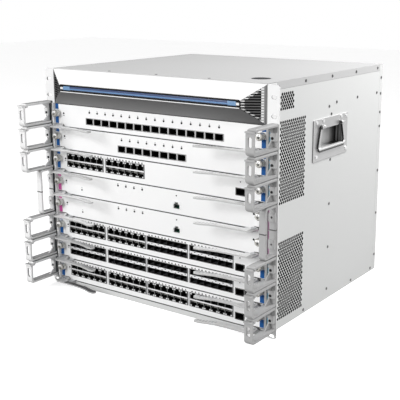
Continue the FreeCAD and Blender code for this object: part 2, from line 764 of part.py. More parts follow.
def management_jack(slot):
    low, high = seam(slot) + MANAGEMENT_Z[0], seam(slot) + MANAGEMENT_Z[1]
    half = MANAGEMENT_HALF_W
    shell = block(
        MANAGEMENT_X - half, MANAGEMENT_X + half, -CAGE_PROUD, MANAGEMENT_DEPTH, low, high)
    opening = jack_opening(MANAGEMENT_X, low + MANAGEMENT_SILL, False)
    return shell, opening


def card(slot):
    shape = card_face(slot).fuse([card_tray(slot), lever_bracket(slot), mirrored(lever_bracket(slot))])
    if slot in SUPERVISORS:
        shell, opening = management_jack(slot)
        shape = shape.fuse(shell).cut(opening)
    return shape.removeSplitter()


def jack_opening(x, z, upside_down):
    half = JACK_W / 2
    key = JACK_LATCH_W / 2
    low, high, tip = z, z + JACK_H - JACK_LATCH_H, z + JACK_H
    if upside_down:
        low, high, tip = z + JACK_H, z + JACK_LATCH_H, z
    outline = [(x - half, low), (x + half, low), (x + half, high), (x + key, high),
               (x + key, tip), (x - key, tip), (x - key, high), (x - half, high)]
    return front_profile(-CAGE_PROUD - 1, POCKET_DEPTH, outline, [0] * 8)


def port_block(slot, index, kind):
    z = seam(slot)
    x0 = BLOCK_X0[index]
    body = block(x0, x0 + BLOCK_W, -CAGE_PROUD, BLOCK_DEPTH, z + BLOCK_Z0, z + BLOCK_Z1)
    pitch = (BLOCK_W - 2 * BLOCK_MARGIN) / PORT_COLS
    cuts = []
    for column in range(PORT_COLS):
        x = x0 + BLOCK_MARGIN + pitch * (column + 0.5)
        if kind == "R":
            cuts.append(jack_opening(x, z + BLOCK_Z1 - ROW_MARGIN - JACK_H, False))
            cuts.append(jack_opening(x, z + BLOCK_Z0 + ROW_MARGIN, True))
        else:
            half = SFP_W / 2
            for low in (z + BLOCK_Z0 + ROW_MARGIN, z + BLOCK_Z1 - ROW_MARGIN - SFP_H):
                cuts.append(block(x - half, x + half, -CAGE_PROUD - 1, POCKET_DEPTH, low, low + SFP_H))
    return body.cut(cuts)


def port_cages(slot):
    solids = []
    z = seam(slot) + PORT_ROW_Z
    columns = qsfp_columns(slot)
    if columns:
        x0, x1, low, high = port_windows(slot)[0]
        body = block(x0, x1, -CAGE_PROUD, QSFP_DEPTH, low, high)
        half = QSFP_W / 2
        cuts = []
        for x in columns:
            cuts.append(block(x - half, x + half, -CAGE_PROUD - 1, POCKET_DEPTH + 8, z, z + QSFP_H))
        solids.append(body.cut(cuts))
    for index, kind in enumerate(block_kinds(slot)):
        solids.append(port_block(slot, index, kind))
    return solids


def captive_screw(slot):
    x = SCREW_X
    z = seam(slot) + SCREW_Z
    head = rod(SCREW_HEAD_R, at(x, SCREW_HEAD_D, z), at(x, SCREW_COLLAR_D, z))
    rim = [edge for edge in head.Edges if edge.BoundBox.YMax < FRONT + SCREW_HEAD_D + 0.1]
    head = head.makeChamfer(1.4, rim)
    collar = rod(SCREW_COLLAR_R, at(x, SCREW_COLLAR_D, z), at(x, 0, z))
    shank = rod(SCREW_SHANK_R, at(x, 0, z), at(x, POST_D1 + 3, z))
    d0, d1 = SCREW_HEAD_D - 1, SCREW_HEAD_D + CROSS_DEPTH
    cross = []
    for wide, high in ((CROSS_HALF, CROSS_HALF_T), (CROSS_HALF_T, CROSS_HALF)):
        cross.append(block(x - wide, x + wide, d0, d1, z - high, z + high))
    return head.fuse([collar, shank]).cut(cross).removeSplitter()


def ejector_lever(slot):
    z0, z1 = seam(slot) + LEVER_Z0, seam(slot) + LEVER_Z1
    plate = plan_profile(z0, z1, LEVER_OUTLINE, LEVER_RADII)
    hole = rod(
        PIN_R + PIN_CLEAR, at(PIVOT_X, PIVOT_D, z0 - 1), at(PIVOT_X, PIVOT_D, z1 + 1))
    return plate.cut(hole)


# ---------------------------------------------------------------- small screws


def hex_head(centre, outward, radius, height):
    points = []
    side = outward.cross(FreeCAD.Vector(0, 1, 0))
    if side.Length < 0.5:
        side = FreeCAD.Vector(1, 0, 0)
    up = outward.cross(side)
    for i in range(7):
        angle = math.radians(60 * i)
        offset = side * (radius * math.cos(angle)) + up * (radius * math.sin(angle))
        points.append(centre.add(offset))
    return Part.Face(Part.makePolygon(points)).extrude(outward * height)


def case_screws():
    rear = tuple((REAR_SCREW_D, z) for z in REAR_SCREW_Z)
    solids = []
    for side in (-1, 1):
        outward = FreeCAD.Vector(side, 0, 0)
        for d, z in SIDE_SCREWS + rear:
            solids.append(hex_head(at(side * CHASSIS_HALF_W, d, z), outward, 2.6, 0.7))
        for d, z in PLATE_SCREWS:
            centre = at(side * (CHASSIS_HALF_W + PLATE_T), d, z)
            solids.append(hex_head(centre, outward, 3.2, 1.4))
    for x in TOP_SCREW_X:
        solids.append(hex_head(at(x, TOP_SCREW_D, CHASSIS_H), FreeCAD.Vector(0, 0, 1), 2.4, 0.5))
    return solids


# ---------------------------------------------------------------- export

save("base_pan", [base_pan()])
save("top_cover", [top_cover()])
save("rear_frame", [rear_frame()])
save("midplane", [midplane()])
save("bezel_shell", [bezel_shell()])
save("bezel_light_bar", [bezel_light_bar()])
save("fan_tray", [fan_tray()])
save("case_screws", case_screws())

for makers in (
        ("side_panel", side_panel), ("rack_ear", rack_ear), ("card_guides", card_guides),
        ("handle_plate", handle_plate), ("handle_bail", handle_bail),
        ("power_supply", power_supply)):
    shape = makers[1]()
    for side in ("left", "right"):
        save(makers[0] + "_" + side, [sided(shape, side)])

rings = [cable_ring(slot) for slot in range(1, SLOTS + 1) if slot not in SUPERVISORS]
save("cable_rings", rings + [mirrored(ring) for ring in rings])
save("cable_loops", [cable_loop(), mirrored(cable_loop())])

for slot in range(1, SLOTS + 1):
    save("card_%d" % slot, [card(slot)])
    if slot not in SUPERVISORS:
        save("ports_%d" % slot, port_cages(slot))
    screw = captive_screw(slot)
    save("captive_screws_%d" % slot, [screw, mirrored(screw)])
    lever = ejector_lever(slot)
    for side in ("left", "right"):
        save("lever_%d_%s" % (slot, side), [sided(lever, side)])
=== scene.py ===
import bpy
import math
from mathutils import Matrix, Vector


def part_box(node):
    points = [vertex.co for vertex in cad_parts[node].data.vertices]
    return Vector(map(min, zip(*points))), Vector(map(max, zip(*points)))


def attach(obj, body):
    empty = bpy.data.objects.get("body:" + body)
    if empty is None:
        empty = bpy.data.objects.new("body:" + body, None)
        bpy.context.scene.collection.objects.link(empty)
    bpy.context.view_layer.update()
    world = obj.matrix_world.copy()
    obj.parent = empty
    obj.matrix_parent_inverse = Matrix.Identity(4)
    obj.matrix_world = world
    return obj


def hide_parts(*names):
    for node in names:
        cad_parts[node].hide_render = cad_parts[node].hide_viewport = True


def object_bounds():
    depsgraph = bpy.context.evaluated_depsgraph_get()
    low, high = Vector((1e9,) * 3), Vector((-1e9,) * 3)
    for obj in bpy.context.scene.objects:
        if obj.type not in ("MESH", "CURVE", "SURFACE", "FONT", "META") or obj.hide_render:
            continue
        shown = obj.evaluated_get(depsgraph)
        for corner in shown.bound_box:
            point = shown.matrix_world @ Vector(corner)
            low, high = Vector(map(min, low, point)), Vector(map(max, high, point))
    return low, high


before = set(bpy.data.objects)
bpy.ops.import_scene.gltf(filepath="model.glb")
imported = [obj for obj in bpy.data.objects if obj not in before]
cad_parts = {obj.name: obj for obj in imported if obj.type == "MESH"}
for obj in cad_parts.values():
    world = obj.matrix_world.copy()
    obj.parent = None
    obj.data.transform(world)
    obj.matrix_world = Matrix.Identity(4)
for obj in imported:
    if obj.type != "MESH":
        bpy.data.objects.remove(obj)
CAD_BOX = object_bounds()
MM = 0.001

# Lengths are in mm. X is to the right seen from the front, D is the depth
# behind the front face of the rack ears, and Z is up, as in the part's source.


def box_mm(node):
    low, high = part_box(node)
    return low / MM, high / MM


COVER = box_mm("top_cover")
FRONT = COVER[0].y
REAR_D = COVER[1].y - FRONT
TOP = COVER[1].z
SIDE_X = COVER[1].x
SUPERVISORS = (4, 5)
SLOTS = range(1, 9)
SEAM_GAP = 0.45


def seam(slot):
    return box_mm("card_%d" % slot)[0].z - SEAM_GAP


PITCH = seam(1) - seam(2)
BEZEL_LOW, BEZEL_HIGH = box_mm("bezel_shell")
BAR_LOW, BAR_HIGH = box_mm("bezel_light_bar")
RIDGE_Z0 = BAR_LOW.z - 3.2
RIDGE_Z1 = BAR_HIGH.z + 1.5
RIDGE_D = BEZEL_LOW.y - FRONT
RIDGE_HALF_W = 186.0
LOUVRE_PITCH = 4.0
LOUVRE_H = 2.7
HIP_X = SIDE_X - 0.2
KNOB_X = 212.6
KNOB_Z = 23.9
EAR_SLOTS_X = (226.0, 240.9)
POCKET_BACK_SHADE_D = (222, 236)
POCKET_LEDGE_SHADE_D = (178, 214)
LIGHT_END_X = 163.0
DASH_PITCH = 2.4
DASH_LEN = 1.5
LEVER_HUB_X = 203.0

# ---------------------------------------------------------------- materials

# Several materials change tone by place on the part. Those tones stand for
# light and shade as well as for paint, and some differ left and right.


class Shader:
    def __init__(self, name):
        self.material = bpy.data.materials.new(name)
        self.material.use_nodes = True
        self.tree = self.material.node_tree
        self.bsdf = self.tree.nodes["Principled BSDF"]
        self.coords = self.tree.nodes.new("ShaderNodeTexCoord")

    def node(self, kind, **sockets):
        made = self.tree.nodes.new(kind)
        for key, value in sockets.items():
            self.put(value, made.inputs[key])
        return made

    def put(self, value, socket):
        if hasattr(value, "is_output"):
            self.tree.links.new(value, socket)
        elif socket.type == "RGBA":
            socket.default_value = (value[0], value[1], value[2], 1)
        else:
            socket.default_value = value

    def axes(self):
        """X, depth and Z of the shaded point, in mm."""
        x, y, z = self.node("ShaderNodeSeparateXYZ", Vector=self.coords.outputs["Object"]).outputs
        d = self.math("SUBTRACT", self.math("MULTIPLY", y, 1 / MM), FRONT)
        return self.math("MULTIPLY", x, 1 / MM), d, self.math("MULTIPLY", z, 1 / MM)

    def facing(self):
        return self.node("ShaderNodeSeparateXYZ", Vector=self.coords.outputs["Normal"]).outputs

    def noise(self, scale, detail=3.0, stretch=(1, 1, 1)):
        mapping = self.node("ShaderNodeMapping", Vector=self.coords.outputs["Object"])
        mapping.inputs["Scale"].default_value = stretch
        made = self.node("ShaderNodeTexNoise", Vector=mapping.outputs["Vector"])
        made.inputs["Scale"].default_value = scale
        made.inputs["Detail"].default_value = detail
        return made.outputs["Fac"]

    def mix(self, factor, a, b):
        made = self.tree.nodes.new("ShaderNodeMix")
        made.data_type = "RGBA"
        for value, socket in ((factor, made.inputs[0]), (a, made.inputs[6]), (b, made.inputs[7])):
            self.put(value, socket)
        return made.outputs[2]

    def math(self, operation, a, b=0.0):
        made = self.tree.nodes.new("ShaderNodeMath")
        made.operation = operation
        self.put(a, made.inputs[0])
        self.put(b, made.inputs[1])
        return made.outputs[0]

    def over(self, value, edge):
        return self.math("GREATER_THAN", value, edge)

    def under(self, value, edge):
        return self.math("LESS_THAN", value, edge)

    def both(self, a, b):
        return self.math("MULTIPLY", a, b)

    def either(self, a, b):
        return self.math("MAXIMUM", a, b)

    def between(self, value, low, high):
        return self.both(self.over(value, low), self.under(value, high))

    def ramp(self, value, start, end, low=0.0, high=1.0):
        made = self.node("ShaderNodeMapRange", Value=value)
        made.inputs["From Min"].default_value = start
        made.inputs["From Max"].default_value = end
        made.inputs["To Min"].default_value = low
        made.inputs["To Max"].default_value = high
        return made.outputs["Result"]

    def tone(self, cloud, colour, vary=0.03):
        return self.mix(cloud, scaled(colour, 1 - vary), scaled(colour, 1 + vary))

    def colour(self, value):
        self.put(value, self.bsdf.inputs["Base Color"])

    def rough(self, fine, low, high):
        self.put(self.ramp(fine, 0, 1, low, high), self.bsdf.inputs["Roughness"])

    def metal(self, value):
        self.put(value, self.bsdf.inputs["Metallic"])

    def gloss(self, value):
        self.put(value, self.bsdf.inputs["Specular IOR Level"])

    def bump(self, height, strength=0.25, distance=0.00002):
        made = self.node("ShaderNodeBump", Height=height)
        made.inputs["Strength"].default_value = strength
        made.inputs["Distance"].default_value = distance
        self.tree.links.new(made.outputs["Normal"], self.bsdf.inputs["Normal"])


def scaled(colour, k):
    return tuple(min(1.0, c * k) for c in colour)


def grey(value):
    return (value, value, value)


def surface(name, colour, rough=(0.4, 0.5), metal=0.0, vary=0.03, grain=900.0,
            stretch=(1, 1, 1), coat=0.0, gloss=0.5):
    s = Shader(name)
    s.gloss(gloss)
    s.colour(s.tone(s.noise(6.0, 4.0), colour, vary))
    fine = s.noise(grain, 2.0, stretch)
    s.rough(fine, rough[0], rough[1])
    s.bsdf.inputs["Metallic"].default_value = metal
    s.bsdf.inputs["Coat Weight"].default_value = coat
    s.bump(fine)
    return s.material


def card_surface():
    """White faceplate with dark edges, a dark band painted as shade along each seam, zinc brackets
    and tray, green board, dark heat sinks.
    """
    s = Shader("card_surface")
    _, d, z = s.axes()
    _, _, nz = s.facing()
    height = s.math("MODULO", s.math("SUBTRACT", z, seam(8)), PITCH)
    behind = s.over(d, 2.4)
    bracket = s.either(s.under(d, -0.7), s.both(s.under(height, 1.6), s.under(d, 1.9)))
    # The faceplate's top and bottom edge faces are dark, and a band on the front along each seam
    # is painted dark as shade in the gap.
    edge = s.both(s.over(s.math("ABSOLUTE", nz), 0.3), s.between(d, 0.05, 2.1))
    seam_shade = s.either(s.under(height, SEAM_GAP + 0.4), s.over(height, PITCH - SEAM_GAP - 0.3))
    edge = s.either(edge, s.both(seam_shade, s.between(d, -0.1, 2.1)))
    cloud = s.noise(5.0, 4.0)
    zinc = s.tone(cloud, (0.46, 0.47, 0.48), 0.08)
    green = s.mix(s.noise(160.0, 5.0), (0.01, 0.10, 0.06), (0.03, 0.18, 0.10))
    dark = s.tone(cloud, (0.13, 0.13, 0.14), 0.2)
    inner = s.mix(s.over(height, 7.6), zinc, s.mix(s.over(height, 10.0), green, dark))
    face = s.mix(bracket, s.tone(cloud, (0.86, 0.86, 0.86), 0.02), zinc)
    face = s.mix(edge, face, grey(0.02))
    s.colour(s.mix(behind, face, inner))
    s.metal(s.math("MULTIPLY", s.either(behind, bracket), 0.4))
    fine = s.noise(900.0, 2.0)
    s.rough(fine, 0.34, 0.46)
    s.bump(fine)
    return s.material


def cage_surface():
    """Sheet-metal port cages: bright at the mouth, painted near black as shade within the sockets.
    """
    s = Shader("cage_surface")
    _, d, z = s.axes()
    _, ny, _ = s.facing()
    # Faces within the sockets are painted near black as shade.
    shaded_inside = s.either(s.over(d, 0.1), s.over(ny, -0.5))
    cloud = s.noise(60.0, 3.0)
    mouth = s.mix(s.over(z, seam(2)), s.tone(cloud, grey(0.11), 0.2),
                  s.tone(cloud, grey(0.36), 0.12))
    s.colour(s.mix(shaded_inside, mouth, s.tone(cloud, grey(0.008), 0.4)))
    s.rough(s.noise(700.0), 0.38, 0.55)
    s.gloss(0.12)
    s.metal(s.math("MULTIPLY", s.math("SUBTRACT", 1.0, shaded_inside), 0.3))
    return s.material


def bezel_surface():
    """White upper face, an underside painted grey as shade, louvred corners with painted black
    slits, painted highlights and painted shade, and a black channel.
    """
    s = Shader("bezel_surface")
    x, d, z = s.axes()
    nx, ny, nz = s.facing()
    cloud = s.noise(5.0, 4.0)
    wide = s.math("ABSOLUTE", x)
    white = s.tone(cloud, grey(0.82), 0.02)
    # The underside is painted grey as shade, darker toward the ridge and toward the right end.
    underside_shade = s.mix(s.ramp(z, BEZEL_LOW.z, RIDGE_Z0),
                  s.tone(cloud, grey(0.25)), s.tone(cloud, grey(0.12)))
    underside_shade = s.mix(s.ramp(x, 90.0, 220.0), underside_shade, s.tone(cloud, grey(0.11)))
    colour = s.mix(s.under(nz, -0.3), white, underside_shade)
    hip = s.over(s.math("ABSOLUTE", nx), 0.3)
    run = HIP_X - RIDGE_HALF_W
    above = s.ramp(z, RIDGE_Z1, BEZEL_HIGH.z, RIDGE_HALF_W, RIDGE_HALF_W + run)
    below = s.ramp(z, RIDGE_Z0, BEZEL_LOW.z, RIDGE_HALF_W, RIDGE_HALF_W + run)
    margin = s.math("SUBTRACT", wide, s.math("MAXIMUM", above, below))
    # The louvre slits are painted black as shade in the openings, and so are teeth running from
    # them onto the upper face; on the left the teeth reach further.
    rise = s.math("MODULO", s.math("SUBTRACT", z, BEZEL_LOW.z), LOUVRE_PITCH)
    slit = s.under(rise, LOUVRE_H)
    right = s.over(x, 0.0)
    reach = s.mix(right, grey(-3.2), grey(-1.9))
    teeth = s.both(slit, s.both(s.over(margin, reach), s.over(wide, RIDGE_HALF_W)))
    # On the right the fin tips are painted as highlights, weaker below the ridge; on the left the
    # fins are painted near black as shade.
    tip_highlight = s.both(right, s.both(s.between(margin, 1.0, 5.8), s.over(rise, 1.8)))
    glint = s.mix(s.over(z, RIDGE_Z0), grey(0.48), grey(0.92))
    fins_with_left_shade = s.mix(s.under(margin, 1.0), s.mix(right, grey(0.012), grey(0.14)), grey(0.006))
    louvres = s.mix(tip_highlight, s.mix(slit, fins_with_left_shade, grey(0.006)), glint)
    # On the left only, the outer end of the corner is painted as the light falls there: pale slits
    # between grey fins, then grey with a dark line near the edge, so the two ends differ.
    ends = s.mix(slit, grey(0.24), grey(0.74))
    post = s.mix(s.between(wide, 218.4, 219.2), grey(0.24), grey(0.07))
    corner = s.mix(s.over(wide, 216.4), ends, post)
    corner = s.mix(s.over(wide, 212.6), louvres, s.mix(right, louvres, corner))
    colour = s.mix(hip, s.mix(s.both(teeth, s.over(nz, 0.3)), colour, grey(0.008)), corner)
    channel = s.both(s.between(z, RIDGE_Z0 + 1.3, RIDGE_Z1 + 1.1),
                     s.under(wide, RIDGE_HALF_W - 1.0))
    # Rear-facing faces, and walls deep in the recess behind the ridge front, are painted black as
    # shade.
    black = s.either(s.both(channel, s.under(d, RIDGE_D + 5.0)), s.over(ny, 0.2))
    frame_end = s.both(s.over(wide, RIDGE_HALF_W - 1.6), s.under(ny, -0.9))
    black = s.either(black, frame_end)
    inner = s.both(s.under(s.math("ABSOLUTE", ny), 0.2), s.under(s.math("ABSOLUTE", nx), 0.9))
    s.colour(s.mix(s.either(black, s.both(inner, s.over(d, RIDGE_D + 0.3))), colour, grey(0.012)))
    s.gloss(0.1)
    fine = s.noise(1100.0, 2.0)
    s.rough(fine, 0.34, 0.46)
    s.bump(fine)
    return s.material


def ear_surface():
    """White rack ear with its slot walls painted dark as shade and, on the right only, its raised
    post painted grey as shade.
    """
    s = Shader("ear_surface")
    x, d, _ = s.axes()
    _, ny, _ = s.facing()
    # Slot walls are painted dark as shade; the rib on the right is painted grey as shade.
    wall = s.both(s.under(s.math("ABSOLUTE", ny), 0.5),
                  s.between(s.math("ABSOLUTE", x), *EAR_SLOTS_X))
    right_rib_shade = s.both(s.over(x, 0.0), s.under(d, -0.3))
    paint_and_rib_shade = s.mix(right_rib_shade, s.tone(s.noise(5.0, 4.0), grey(0.80), 0.02), grey(0.34))
    s.colour(s.mix(wall, paint_and_rib_shade, grey(0.10)))
    fine = s.noise(1000.0, 2.0)
    s.rough(fine, 0.36, 0.48)
    s.bump(fine)
    return s.material


def light_strip():
    """Acrylic bar, navy above and light blue below, with paler end sections."""
    s = Shader("light_strip")
    x, _, z = s.axes()
    cloud = s.noise(30.0, 3.0)
    low = BAR_LOW.z
    ends = s.over(s.math("ABSOLUTE", x), LIGHT_END_X)
    navy = s.tone(cloud, (0.010, 0.035, 0.12), 0.15)
    light = s.tone(cloud, (0.08, 0.20, 0.42), 0.1)
    dash = s.under(s.math("MODULO", s.math("ADD", x, 400.0), DASH_PITCH), DASH_LEN)
    body = s.mix(s.under(z, low + 3.9), navy, light)
    body = s.mix(s.both(s.under(z, low + 1.9), dash), body, (0.006, 0.010, 0.02))
    body = s.mix(s.under(z, low + 1.1), body, (0.006, 0.010, 0.02))
    s.colour(s.mix(ends, body, s.tone(cloud, (0.12, 0.25, 0.44), 0.1)))
    s.rough(s.noise(400.0), 0.2, 0.3)
    s.bsdf.inputs["Coat Weight"].default_value = 0.3
    return s.material


def screw_surface():
    """Dark screws in the case, bright ones in the handle plates."""
    s = Shader("screw_surface")
    x, _, _ = s.axes()
    bright = s.over(s.math("ABSOLUTE", x), SIDE_X + 1.4)
    cloud = s.noise(80.0)
    s.colour(s.mix(bright, s.tone(cloud, grey(0.045), 0.2), s.tone(cloud, grey(0.72), 0.05)))
    s.metal(s.math("MULTIPLY", bright, 0.9))
    s.rough(s.noise(500.0), 0.25, 0.4)
    return s.material


def plate_surface():
    """Brushed steel plate: top faces painted pale as a highlight, front-facing faces painted dark
    as shade, and the pocket painted darker toward the rear, and in dark and grey stripes, as
    shade.
    """
    s = Shader("handle_steel")
    x, d, _ = s.axes()
    _, ny, nz = s.facing()
    wide = s.math("ABSOLUTE", x)
    pocket = s.under(wide, SIDE_X - 0.6)
    fine = s.noise(400.0, 2.0, (1, 0.05, 1))
    cloud = s.noise(14.0, 3.0)
    # In the pocket, the deep wall and the floor and ceiling are painted darker toward the rear,
    # and the end walls in dark and grey stripes by depth, as shade.
    pocket_back_shade = s.mix(s.ramp(d, *POCKET_BACK_SHADE_D), s.tone(cloud, grey(0.46), 0.05), grey(0.10))
    pocket_band_shade = s.mix(s.over(wide, 216.6), grey(0.02), grey(0.20))
    pocket_band_shade = s.mix(s.between(wide, 211.4, 214.2), pocket_band_shade, grey(0.26))
    ledge_shade = s.mix(s.ramp(d, *POCKET_LEDGE_SHADE_D), s.tone(cloud, grey(0.60), 0.1), grey(0.015))
    shaded_inside = s.mix(s.over(s.math("ABSOLUTE", ny), 0.5), pocket_back_shade, pocket_band_shade)
    shaded_inside = s.mix(s.over(s.math("ABSOLUTE", nz), 0.5), shaded_inside, ledge_shade)
    # Outside the pocket, top faces are painted pale as a highlight and front-facing faces dark as
    # shade.
    top_highlight_front_shade = s.mix(s.over(nz, 0.5), s.tone(cloud, grey(0.46), 0.06), grey(0.85))
    top_highlight_front_shade = s.mix(s.under(ny, -0.5), top_highlight_front_shade, grey(0.14))
    s.colour(s.mix(pocket, top_highlight_front_shade, shaded_inside))
    s.metal(0.55)
    s.rough(fine, 0.30, 0.42)
    s.bump(fine)
    return s.material


def lever_surface():
    """Stamped steel: flats painted lighter than the sides as lit faces, the lower left levers
    painted darker as shade, the finger end of the bottom left lever near black as shade, and grey
    beyond the hub.
    """
    s = Shader("lever_steel")
    x, _, z = s.axes()
    _, _, nz = s.facing()
    fine = s.noise(500.0, 2.0, (0.05, 1, 1))
    cloud = s.noise(20.0, 3.0)
    flat = s.over(s.math("ABSOLUTE", nz), 0.5)
    # Flats are painted lighter than the sides as lit faces; on the lower left levers the flats are
    # painted darker as shade, and the bottom left lever's finger end near black as shade.
    lower_left_shade = s.both(s.under(x, 0.0), s.under(z, seam(5)))
    top = s.mix(lower_left_shade, s.tone(cloud, grey(0.78), 0.04), s.tone(cloud, grey(0.52), 0.08))
    finger = s.both(s.over(x, -188.0), s.under(z, seam(8) + 8.0))
    top = s.mix(s.both(lower_left_shade, finger), top, grey(0.07))
    top = s.mix(s.over(s.math("ABSOLUTE", x), LEVER_HUB_X), top, grey(0.40))
    s.colour(s.mix(flat, s.tone(cloud, grey(0.46), 0.1), top))
    s.metal(0.15)
    s.rough(fine, 0.30, 0.42)
    s.bump(fine)
    return s.material


def bail_surface():
    """Plated strap with a painted highlight band on the grip, and painted shade on its
    front-facing sides and in a band low on the grip.
    """
    s = Shader("bail_chrome")
    _, _, z = s.axes()
    _, ny, _ = s.facing()
    fine = s.noise(300.0)
    cloud = s.noise(30.0)
    low = box_mm("handle_bail_right")[0].z
    # Front-facing sides and a band low on the grip are painted near black as shade; a band above
    # it is painted as a highlight.
    shade = s.either(s.under(ny, -0.3), s.between(z, low + 0.5, low + 3.5))
    glint = s.both(s.under(z, low + 9.0), s.over(z, low + 5.2))
    metal = s.mix(glint, s.tone(cloud, grey(0.50), 0.05), grey(0.92))
    s.colour(s.mix(shade, metal, s.tone(cloud, grey(0.02), 0.3)))
    s.metal(s.math("MULTIPLY", s.math("SUBTRACT", 1.0, s.either(shade, glint)), 0.4))
    s.rough(fine, 0.14, 0.24)
    return s.material


def knob_surface():
    """Plated thumb screw with a painted highlight on the upper head, its recess in the middle of
    the head painted near black as shade, and a dark band near the front of the side.
    """
    s = Shader("knob_steel")
    x, d, z = s.axes()
    _, ny, _ = s.facing()
    cloud = s.noise(90.0, 3.0)
    height = s.math("MODULO", s.math("SUBTRACT", z, seam(8)), PITCH)
    aside = s.math("SUBTRACT", s.math("ABSOLUTE", x), KNOB_X)
    above = s.math("SUBTRACT", height, KNOB_Z)
    sunk = s.math("ADD", above, 1.6)
    reach = s.math("SQRT", s.math("ADD", s.math("MULTIPLY", aside, aside),
                                  s.math("MULTIPLY", sunk, sunk)))
    front = s.under(ny, -0.5)
    # The recess in the middle of the head is painted near black as shade, and a patch on the upper
    # head is painted as a highlight.
    recess = s.both(front, s.under(reach, 1.9))
    shell = s.mix(s.between(d, -9.5, -8.4), s.tone(cloud, (0.58, 0.58, 0.56), 0.5), grey(0.08))
    glint = s.both(s.between(above, 0.6, 4.4), s.under(s.math("ABSOLUTE", aside), 3.4))
    face = s.mix(glint, s.tone(cloud, (0.40, 0.39, 0.36), 0.35), grey(0.90))
    s.colour(s.mix(recess, s.mix(front, shell, face), grey(0.02)))
    s.metal(s.math("MULTIPLY", s.math("SUBTRACT", 1.0, recess), 0.35))
    s.rough(s.noise(500.0), 0.2, 0.34)
    return s.material


def ring_surface():
    """Grey moulded plastic, painted dark as shade where one ring meets the next, and on the left
    painted light on the inboard and front faces, near black as shadow by the ear and darker as
    shade on the tops.
    """
    s = Shader("ring_plastic")
    x, d, z = s.axes()
    nx, ny, nz = s.facing()
    cloud = s.noise(6.0, 4.0)
    fine = s.noise(1200.0, 2.0)
    height = s.math("MODULO", s.math("SUBTRACT", z, seam(8)), PITCH)
    # A band where one ring meets the next is painted dark as shade.
    gap_shade = s.both(s.under(s.math("ABSOLUTE", nz), 0.6), s.between(height, 4.0, 6.0))
    left = s.under(x, 0.0)
    # On the left, inboard and front faces are painted light, near black as shadow close to the
    # ear, and tops darker as shade.
    pale = s.both(left, s.either(s.over(nx, 0.5), s.under(ny, -0.5)))
    body = s.mix(s.both(left, s.over(nz, 0.5)),
                 s.tone(cloud, grey(0.38)), s.tone(cloud, grey(0.26)))
    left_light_and_ear_shade = s.mix(s.over(d, -3.5), s.tone(cloud, grey(0.78)), (0.010, 0.016, 0.022))
    body = s.mix(pale, body, left_light_and_ear_shade)
    s.colour(s.mix(gap_shade, body, grey(0.06)))
    s.rough(fine, 0.42, 0.56)
    s.bump(fine)
    return s.material


CARD = card_surface()
CAGE = cage_surface()
BEZEL = bezel_surface()
EAR = ear_surface()
LIGHT = light_strip()
SCREW = screw_surface()
PLATE = plate_surface()
LEVER = lever_surface()
BAIL = bail_surface()
KNOB = knob_surface()
PANEL = surface("panel_paint", (0.65, 0.655, 0.65), (0.42, 0.54), vary=0.025, grain=1400.0)
LID = surface("lid_paint", (0.50, 0.50, 0.50), (0.42, 0.54), vary=0.02, grain=1400.0)
RING = ring_surface()
ZINC = surface("zinc", (0.58, 0.58, 0.59), (0.3, 0.45), metal=0.7, grain=500.0)
BRASS = surface("contact_metal", (0.20, 0.20, 0.19), (0.25, 0.4), metal=0.6)
BLACK = surface("black_plastic", (0.008, 0.008, 0.009), (0.45, 0.6), gloss=0.12)
DARK = surface("dark_plastic", (0.040, 0.040, 0.045), (0.45, 0.6), gloss=0.2)
BOARD = surface("circuit_board", (0.02, 0.14, 0.08), (0.35, 0.5), grain=300.0)
BLUE = surface("blue_label", (0.008, 0.080, 0.27), (0.45, 0.6), gloss=0.2)
MAGENTA = surface("magenta_label", (0.50, 0.06, 0.28), (0.4, 0.5))
PALE_BLUE = surface("pale_blue_label", (0.32, 0.62, 0.80), (0.4, 0.5))
PALE_PINK = surface("pale_pink_label", (0.70, 0.36, 0.58), (0.4, 0.5))
# Navy for the left strips by the ear, painted as shadow.
LEFT_STRIP_SHADOW = surface("left_strip_painted_shadow", (0.02, 0.04, 0.09), (0.4, 0.5))
MID_GREY = surface("mid_grey_label", (0.22, 0.22, 0.23), (0.4, 0.5))
# Grey print, also used for grip ribs painted dark as shade.
GREY_INK_AND_SHADE = surface("grey_ink_and_rib_shade", (0.16, 0.16, 0.17), (0.4, 0.5))
CLEAR_LENS = surface("clear_lens", (0.78, 0.79, 0.80), (0.12, 0.2), coat=0.5)
JACK_GREEN = surface("jack_green", (0.015, 0.10, 0.07), (0.3, 0.4))

NODE_LOOKS = {
    "base_pan": PANEL, "top_cover": LID, "rear_frame": PANEL, "midplane": BOARD,
    "rack_ear": EAR, "card_guides": ZINC, "bezel_shell": BEZEL, "bezel_light_bar": LIGHT,
    "cable_rings": RING, "cable_loops": RING, "handle_plate": PLATE, "handle_bail": BAIL,
    "case_screws": SCREW, "fan_tray": PANEL, "power_supply": PANEL, "side_panel": PANEL,
    "card_": CARD, "ports_": CAGE, "captive_screws_": KNOB, "lever_": LEVER}

for name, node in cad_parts.items():
    best = max((key for key in NODE_LOOKS if name.startswith(key)), key=len)
    for i in range(len(node.data.materials)):
        node.data.materials[i] = NODE_LOOKS[best]

# ---------------------------------------------------------------- mesh building


